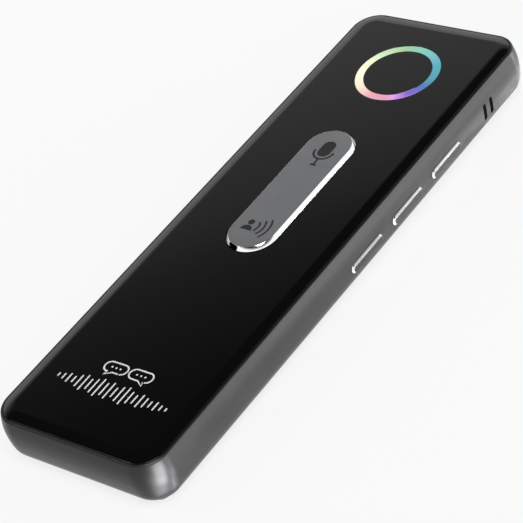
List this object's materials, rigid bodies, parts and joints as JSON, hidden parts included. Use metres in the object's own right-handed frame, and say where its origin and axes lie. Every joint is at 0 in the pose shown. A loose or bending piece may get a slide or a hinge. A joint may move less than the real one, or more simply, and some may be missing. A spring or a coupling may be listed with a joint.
{
  "type": "handheld translator",
  "caption": "Slim handheld voice translator: metal tub, black glass front, long talk key, light ring, side keys, wrist-cord eyelet and charging port.",
  "frame": {"origin": "centre of the flat back", "axes": "+Z out of the glass front, +Y along the body towards the light ring, +X towards the side keys"},
  "size_m": [0.0445, 0.1424, 0.0133],
  "materials": {
    "anodised_shell": "fine blasted and anodised, dark grey",
    "black_glass": "polished glass printed black behind",
    "key_metal": "satin anodised face, bright cut edge",
    "light_guide": "milky, lit from below",
    "adhesive": "black adhesive film",
    "frame_plastic": "moulded, fine grained",
    "brass": "turned",
    "screw_steel": "zinc plated",
    "silicone": "moulded silicone rubber",
    "foam": "closed-cell foam",
    "switch_plastic": "moulded",
    "circuit_board": "solder mask",
    "chip_plastic": "moulded epoxy",
    "led_plastic": "clear over phosphor",
    "shield_steel": "tinned sheet",
    "port_steel": "nickel plated, drawn",
    "mesh_steel": "blackened woven mesh",
    "contact_gold": "gold plated",
    "copper_foil": "etched foil",
    "battery_foil": "laminated pouch foil",
    "connector_plastic": "moulded",
    "wire_sleeve": "extruded sleeve"
  },
  "bodies": {
    "housing": {"rear_shell": "anodised_shell", "front_panel": "black_glass", "ring_centre_disc": "black_glass", "ring_light_guide": "light_guide", "panel_adhesive": "adhesive", "ring_adhesive": "adhesive", "disc_adhesive": "adhesive", "battery_tape": "adhesive", "mid_frame": "frame_plastic", "threaded_inserts": "brass", "frame_screws": "screw_steel", "board_screws": "screw_steel", "talk_key_pad": "silicone", "mic_boots": "silicone", "speaker_gasket": "foam", "battery_foam": "foam", "talk_switch": "switch_plastic", "volume_up_switch": "switch_plastic", "volume_down_switch": "switch_plastic", "power_switch": "switch_plastic", "main_board": "circuit_board", "processor": "chip_plastic", "memory_chip": "chip_plastic", "audio_chip": "chip_plastic", "ring_leds": "led_plastic", "processor_shield": "shield_steel", "radio_shield": "shield_steel", "microphones": "shield_steel", "usb_connector": "port_steel", "usb_tongue": "chip_plastic", "loudspeaker": "chip_plastic", "speaker_mesh": "mesh_steel", "speaker_contacts": "contact_gold", "antenna_spring": "contact_gold", "antenna": "copper_foil", "battery": "battery_foil", "battery_plug": "connector_plastic", "battery_socket": "connector_plastic", "battery_wires": "wire_sleeve"},
    "talk_button": {"talk_key": "key_metal", "talk_switch_button": "switch_plastic"},
    "volume_up_button": {"volume_up_key": "key_metal", "volume_up_plunger": "switch_plastic"},
    "volume_down_button": {"volume_down_key": "key_metal", "volume_down_plunger": "switch_plastic"},
    "power_button": {"power_key": "key_metal", "power_plunger": "switch_plastic"}
  },
  "joints": [
    {"name": "talk_press", "type": "slide", "parent": "housing", "child": "talk_button", "axis": [0, 0, -1], "range_m": [0, 0.00045], "stiffness_N_per_m": 2500, "deforming": ["talk_key_pad"]},
    {"name": "volume_up_press", "type": "slide", "parent": "housing", "child": "volume_up_button", "axis": [-1, 0, 0], "range_m": [0, 0.00035], "stiffness_N_per_m": 2500},
    {"name": "volume_down_press", "type": "slide", "parent": "housing", "child": "volume_down_button", "axis": [-1, 0, 0], "range_m": [0, 0.00035], "stiffness_N_per_m": 2500},
    {"name": "power_press", "type": "slide", "parent": "housing", "child": "power_button", "axis": [-1, 0, 0], "range_m": [0, 0.00035], "stiffness_N_per_m": 2500}
  ]
}
